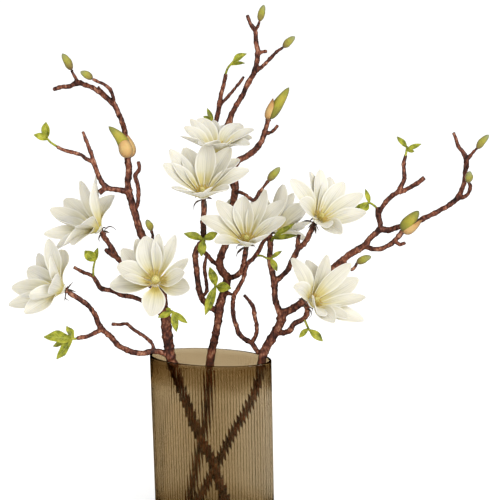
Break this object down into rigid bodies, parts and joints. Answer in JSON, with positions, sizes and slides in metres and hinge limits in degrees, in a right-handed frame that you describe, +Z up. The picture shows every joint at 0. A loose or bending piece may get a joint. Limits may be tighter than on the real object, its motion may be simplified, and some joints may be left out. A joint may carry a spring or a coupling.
{
  "type": "magnolia branches in a vase",
  "caption": "Flowering magnolia branches with open white blooms, swelling buds and young leaves, standing in an oval fluted smoked-glass vase",
  "frame": {"origin": "the centre of the vase's foot, on the surface it stands on", "axes": "+Z up, +X to the right as the picture sees it, -Y towards the viewer; the vase's long axis is turned 14 degrees about Z, its left end to the back"},
  "size_m": [0.7294, 0.2453, 0.8062],
  "materials": {
    "smoked_glass": "smooth, fluted outside, smoky olive brown",
    "bark": "knobbly red-brown bark with dark creases",
    "petal": "soft matt creamy white, yellow-green at the throat",
    "heart": "matt yellow",
    "husk": "downy tan",
    "bud": "matt olive green",
    "leaf": "satin yellow-green"
  },
  "bodies": {
    "root": {"vase": "smoked_glass", "branch_left": "bark", "branch_centre": "bark", "branch_right": "bark", "bloom_1_petals": "petal", "bloom_1_heart": "heart", "bloom_2_petals": "petal", "bloom_2_heart": "heart", "bloom_3_petals": "petal", "bloom_3_heart": "heart", "bloom_4_petals": "petal", "bloom_4_heart": "heart", "bloom_5_petals": "petal", "bloom_5_heart": "heart", "bloom_6_petals": "petal", "bloom_6_heart": "heart", "bloom_7_petals": "petal", "bloom_7_heart": "heart", "bloom_8_petals": "petal", "bloom_8_heart": "heart", "bloom_9_petals": "petal", "bloom_9_heart": "heart", "flower_bud_left_husk": "husk", "flower_bud_left_tip": "bud", "flower_bud_centre_husk": "husk", "flower_bud_centre_tip": "bud", "flower_bud_right_husk": "husk", "flower_bud_right_tip": "bud", "leaf_bud_left_tip": "bud", "leaf_bud_left_upper": "bud", "leaf_bud_left_inner": "bud", "leaf_bud_centre_side": "bud", "leaf_bud_centre_top": "bud", "leaf_bud_centre_outer": "bud", "leaf_bud_right_lower": "bud", "leaf_bud_right_tip": "bud", "leaf_bud_right_upper": "bud", "leaves_left_arm": "leaf", "leaves_left_twig": "leaf", "leaves_left_low": "leaf", "leaves_left_trunk": "leaf", "leaves_centre_limb": "leaf", "leaves_centre_trunk": "leaf", "leaves_centre_top": "leaf", "leaves_centre_twig": "leaf", "leaves_right_limb": "leaf", "leaves_right_twig": "leaf", "leaves_right_outer": "leaf", "leaves_right_arm": "leaf", "leaves_right_low": "leaf"}
  },
  "joints": []
}
